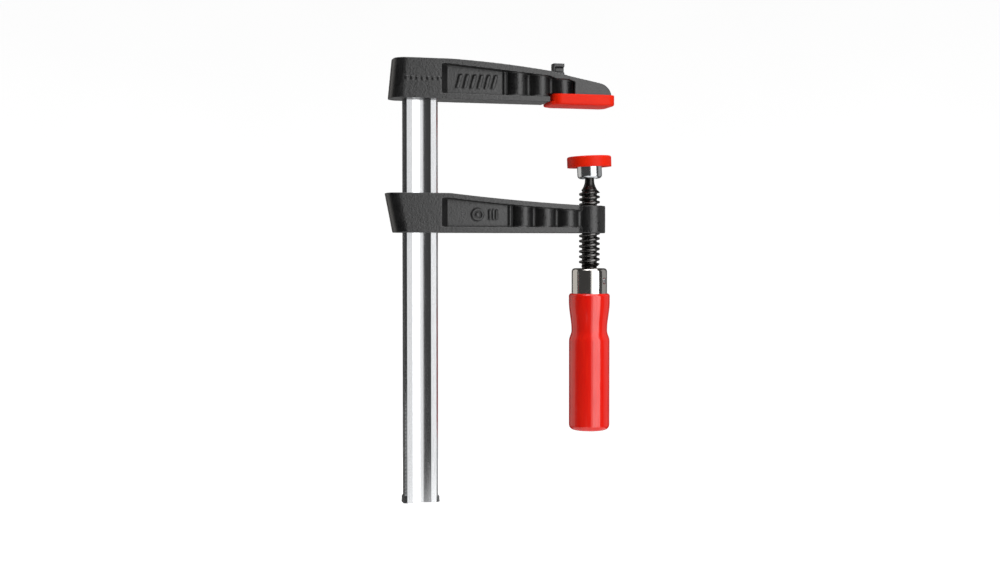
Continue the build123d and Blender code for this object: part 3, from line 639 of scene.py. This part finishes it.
def spindle():
    """Screw with its ball end, neck and the plain shank inside the handle."""
    low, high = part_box("spindle")
    neck_end = BALL_CENTRE - NECK_LENGTH
    thread_top = neck_end - CONE_LENGTH
    thread_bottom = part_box("ferrule")[1].z + THREAD_RUN_OUT
    ball_start = math.degrees(math.asin(BALL_FLAT / BALL_RADIUS))
    ball_end = -math.degrees(math.acos(NECK_RADIUS / BALL_RADIUS))
    outline = [
        (0, high.z),
        *arc((0, BALL_CENTRE), BALL_RADIUS, ball_start, ball_end, 28),
        *flare((NECK_RADIUS, neck_end), (CORE_RADIUS, thread_top), 12),
        (CORE_RADIUS - THREAD_SINK, thread_top - THREAD_SINK),
        (CORE_RADIUS - THREAD_SINK, thread_bottom + THREAD_SINK),
        (CORE_RADIUS, thread_bottom),
        (CORE_RADIUS, low.z + SHANK_CHAMFER),
        (CORE_RADIUS - SHANK_CHAMFER, low.z),
        (0, low.z),
    ]
    piece = turned("screw", outline)
    cut_away(piece, thread_body(thread_bottom, thread_top), "UNION")
    shade_smooth(piece, 35)
    return piece


place(spindle(), "screw", "screw_steel", SCREW, "spindle")


# ---------------------------------------------------------------- pressure plate and its cap

def lean(piece):
    """Moves a piece made about the ball's centre to its place, leaning as the plate does."""
    piece.rotation_euler = (0, PLATE_LEAN, 0)
    piece.location = (0, 0, BALL_CENTRE)
    settle(piece)


def pressure_plate():
    """Turned plate with the cup that snaps over the screw's ball."""
    top = CAP_TOP - PLATE_CAP_WEB
    bottom = top - PLATE_THICKNESS
    pocket = -math.degrees(math.acos(CUP_MOUTH / RING_POCKET_RADIUS))
    corner = (CUP_RADIUS - CUP_WALL_ROUNDING, CUP_WALL_ROUNDING - CUP_DEPTH)
    outline = [
        (0, top),
        (PLATE_RADIUS, top),
        (PLATE_RADIUS, bottom),
        (CUP_RADIUS, bottom),
        *arc(corner, CUP_WALL_ROUNDING, 0, -90, 10),
        (CUP_MOUTH + MOUTH_CHAMFER, -CUP_DEPTH),
        (CUP_MOUTH, MOUTH_CHAMFER - CUP_DEPTH),
        *arc((0, 0), RING_POCKET_RADIUS, pocket, 0, 12),
        *arc((0, 0), SEAT_RADIUS, 0, 90, 16),
    ]
    piece = turned("plate_disc", outline)
    soften_edges(piece, PLATE_ARRIS)
    lean(piece)
    return piece


def plate_cap():
    """Plastic cap snapped over the plate, its face dished inside a low rim."""
    bottom = CAP_TOP - PLATE_CAP_HEIGHT
    web = CAP_TOP - PLATE_CAP_WEB
    plate_bottom = web - PLATE_THICKNESS
    snap_radius = PLATE_RADIUS - PLATE_CAP_SNAP
    rim = CAP_RADIUS - PLATE_CAP_ROUNDING - DISH_RIM
    corner = (CAP_RADIUS - PLATE_CAP_ROUNDING, CAP_TOP - PLATE_CAP_ROUNDING)
    outline = [
        (0, CAP_TOP - DISH_DEPTH),
        (rim - DISH_DEPTH, CAP_TOP - DISH_DEPTH),
        (rim, CAP_TOP),
        *arc(corner, PLATE_CAP_ROUNDING, 90, 0, 8),
        (CAP_RADIUS, bottom),
        (snap_radius, bottom),
        (snap_radius, plate_bottom),
        (PLATE_RADIUS, plate_bottom),
        (PLATE_RADIUS, web),
        (0, web),
    ]
    piece = turned("plate_cover", outline)
    soften_edges(piece, PLATE_CAP_ARRIS, angle=30)
    lean(piece)
    return piece


place(pressure_plate(), "plate", "plate_steel", ZINC, "pressure_plate")
place(plate_cap(), "plate", "cap_plastic", PLASTIC, "plate_cap")


# ---------------------------------------------------------------- ferrule, pin and handle

def pin_rod(name, radius, half_length, height):
    """A rod across the screw's axis, in the cross pin's place."""
    bpy.ops.mesh.primitive_cylinder_add(
        vertices=48,
        radius=radius,
        depth=2 * half_length,
        location=(0, 0, height),
        rotation=(math.pi / 2, 0, PIN_ANGLE),
    )
    piece = bpy.context.active_object
    piece.name = name
    settle(piece)
    return piece


def ferrule():
    """Polished sleeve at the top of the handle, drilled for the cross pin."""
    low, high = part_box("ferrule")
    radius = high.x
    bore = radius - FERRULE_WALL
    outline = [
        (CORE_RADIUS + FERRULE_CLEARANCE, high.z),
        *arc((radius - FERRULE_ROUNDING, high.z - FERRULE_ROUNDING), FERRULE_ROUNDING, 90, 0, 10),
        (radius, low.z),
        (bore, low.z),
        (bore, high.z - FERRULE_WALL),
        (CORE_RADIUS + FERRULE_CLEARANCE, high.z - FERRULE_WALL),
    ]
    piece = turned("ferrule_sleeve", outline, closed=True)
    middle = (low.z + high.z) / 2
    cut_away(piece, pin_rod("drill", PIN_RADIUS + PIN_RELIEF, 2 * radius, middle))
    soften_edges(piece, FERRULE_ARRIS)
    return piece


def cross_pin():
    """Steel pin through ferrule, handle and screw, with rounded ends."""
    low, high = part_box("cross_pin")
    half_length = math.hypot(high.x, high.y) - PIN_RADIUS * 0.5
    piece = pin_rod("pin", PIN_RADIUS, half_length, (low.z + high.z) / 2)
    soften_edges(piece, PIN_ROUNDING, segments=4)
    return piece


def handle():
    """Lacquered wooden grip with a waist for the finger and thumb."""
    low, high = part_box("handle")
    collar_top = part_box("ferrule")[0].z
    collar_radius = high.x
    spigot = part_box("ferrule")[1].x - FERRULE_WALL
    waist = (WAIST_RADIUS, collar_top - WAIST_DROP)
    shoulder = (BARREL_RADIUS, collar_top - SHOULDER_DROP)
    collar_corner = (collar_radius - COLLAR_ROUNDING, collar_top - COLLAR_ROUNDING)
    end_corner = (BARREL_RADIUS - HANDLE_END_ROUNDING, low.z + HANDLE_END_ROUNDING)
    tang_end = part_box("spindle")[0].z
    outline = [
        (0, tang_end),
        (CORE_RADIUS, tang_end),
        (CORE_RADIUS, high.z),
        (spigot, high.z),
        (spigot, collar_top),
        *arc(collar_corner, COLLAR_ROUNDING, 90, 0, 8),
        (collar_radius, collar_top - COLLAR_LENGTH),
        *ease((collar_radius, collar_top - COLLAR_LENGTH), waist, 24),
        *ease(waist, shoulder, 14),
        *arc(end_corner, HANDLE_END_ROUNDING, 0, -90, 12),
        (0, low.z),
    ]
    piece = turned("grip", outline)
    shade_smooth(piece, 50)
    return piece


place(ferrule(), "screw", "ferrule_nickel", NICKEL, "ferrule")
place(cross_pin(), "screw", "spring_steel", SPRING, "cross_pin")
place(handle(), "screw", "handle_wood", LACQUER, "handle")

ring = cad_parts["snap_ring"]
ring.data.materials.clear()
ring.data.materials.append(SPRING)


# ---------------------------------------------------------------- floor, light and camera

FLOOR_Z = -0.50
STUDIO_CENTRE = Vector((-0.06, 0, FLOOR_Z))
FLOOR_RADIUS = 1.3
BACKDROP_RADIUS = 3.2
BACKDROP_STEPS = 20
STUDIO_SIDES = 96
LIGHT_CENTRE = (-0.06, 0, -0.12)
ROOM_LIGHT = 0.05
STUDIO_WHITE = studio_white()


def floor():
    """Round pale floor."""
    deselect()
    bpy.ops.mesh.primitive_circle_add(
        vertices=STUDIO_SIDES, radius=FLOOR_RADIUS, fill_type="NGON", location=STUDIO_CENTRE
    )
    piece = bpy.context.active_object
    piece.name = "floor"
    return piece


def backdrop():
    """Ring round the floor that rises into a wall, so that every view ends in the same pale tone."""
    bm = bmesh.new()
    before = None
    for step in range(BACKDROP_STEPS + 1):
        share = step / BACKDROP_STEPS
        reach = FLOOR_RADIUS + (BACKDROP_RADIUS - FLOOR_RADIUS) * math.sin(share * math.pi / 2)
        rise = (BACKDROP_RADIUS - FLOOR_RADIUS) * (1 - math.cos(share * math.pi / 2))
        level = []
        for i in range(STUDIO_SIDES):
            angle = i / STUDIO_SIDES * FULL_TURN
            offset = Vector((reach * math.cos(angle), reach * math.sin(angle), rise))
            level.append(bm.verts.new(STUDIO_CENTRE + offset))
        if before:
            for i in range(STUDIO_SIDES):
                j = (i + 1) % STUDIO_SIDES
                bm.faces.new((before[i], level[i], level[j], before[j]))
        before = level
    piece = new_piece("backdrop", bm)
    shade_smooth(piece, 60)
    return piece


def softbox(name, centre, target, width, height, power, colour=(1, 1, 1)):
    """Large soft light that the camera doesn't see."""
    lamp = bpy.data.lights.new(name, "AREA")
    lamp.shape = "RECTANGLE"
    lamp.size = width
    lamp.size_y = height
    lamp.energy = power
    lamp.color = colour
    box = bpy.data.objects.new(name, lamp)
    bpy.context.scene.collection.objects.link(box)
    box.location = centre
    box.rotation_euler = (Vector(target) - Vector(centre)).to_track_quat("-Z", "Y").to_euler()
    box.visible_camera = False
    return box


def studio():
    """Floor, backdrop, lights and the faint light of the room."""
    stage_pieces = [floor(), backdrop()]
    for piece in stage_pieces:
        piece.data.materials.append(STUDIO_WHITE)
        piece.visible_diffuse = False
        piece.visible_glossy = False
    lights = [
        softbox("key", (0.315, -0.58, -0.02), (0.315, 0, -0.02), 0.57, 0.90, 3.4),
        softbox("key_edge", (-0.025, -0.58, -0.02), (-0.025, 0, -0.02), 0.11, 0.90, 0.27),
        softbox("right", (0.85, 0.05, 0.0), LIGHT_CENTRE, 0.7, 1.0, 0.6),
        softbox("left_back", (-0.59, 0.455, 0.0), (0, 0, 0), 0.68, 1.0, 1.1, (1.0, 0.97, 0.92)),
        softbox("behind", (0.45, 1.25, -0.20), LIGHT_CENTRE, 1.3, 0.7, 0.9),
        softbox("overhead", (-0.05, -0.10, 1.0), LIGHT_CENTRE, 1.3, 1.3, 16.0),
        softbox("below", (-0.05, -0.05, FLOOR_Z + 0.01), LIGHT_CENTRE, 1.0, 1.0, 2.4),
    ]
    world = bpy.data.worlds.new("studio_air")
    world.use_nodes = True
    world.node_tree.nodes["Background"].inputs["Color"].default_value = (1, 1, 1, 1)
    world.node_tree.nodes["Background"].inputs["Strength"].default_value = ROOM_LIGHT
    bpy.context.scene.world = world
    bpy.context.scene.view_settings.view_transform = "Standard"


CAMERA_PLACE = (-0.3092, -0.9246, -0.1082)
CAMERA_TURN = 14.44  # degrees to the right of +Y
CAMERA_TILT = -1.49
CAMERA_LENS = 45.42


def camera():
    """Camera level with the clamp, a little to the left of it."""
    lens = bpy.data.cameras.new("camera")
    lens.lens = CAMERA_LENS
    lens.sensor_width = 36
    lens.clip_start = 0.01
    lens.clip_end = 50
    eye = bpy.data.objects.new("camera", lens)
    bpy.context.scene.collection.objects.link(eye)
    eye.location = CAMERA_PLACE
    eye.rotation_euler = (math.radians(90 + CAMERA_TILT), 0, -math.radians(CAMERA_TURN))
    bpy.context.scene.camera = eye


studio()
camera()

bpy.context.view_layer.update()
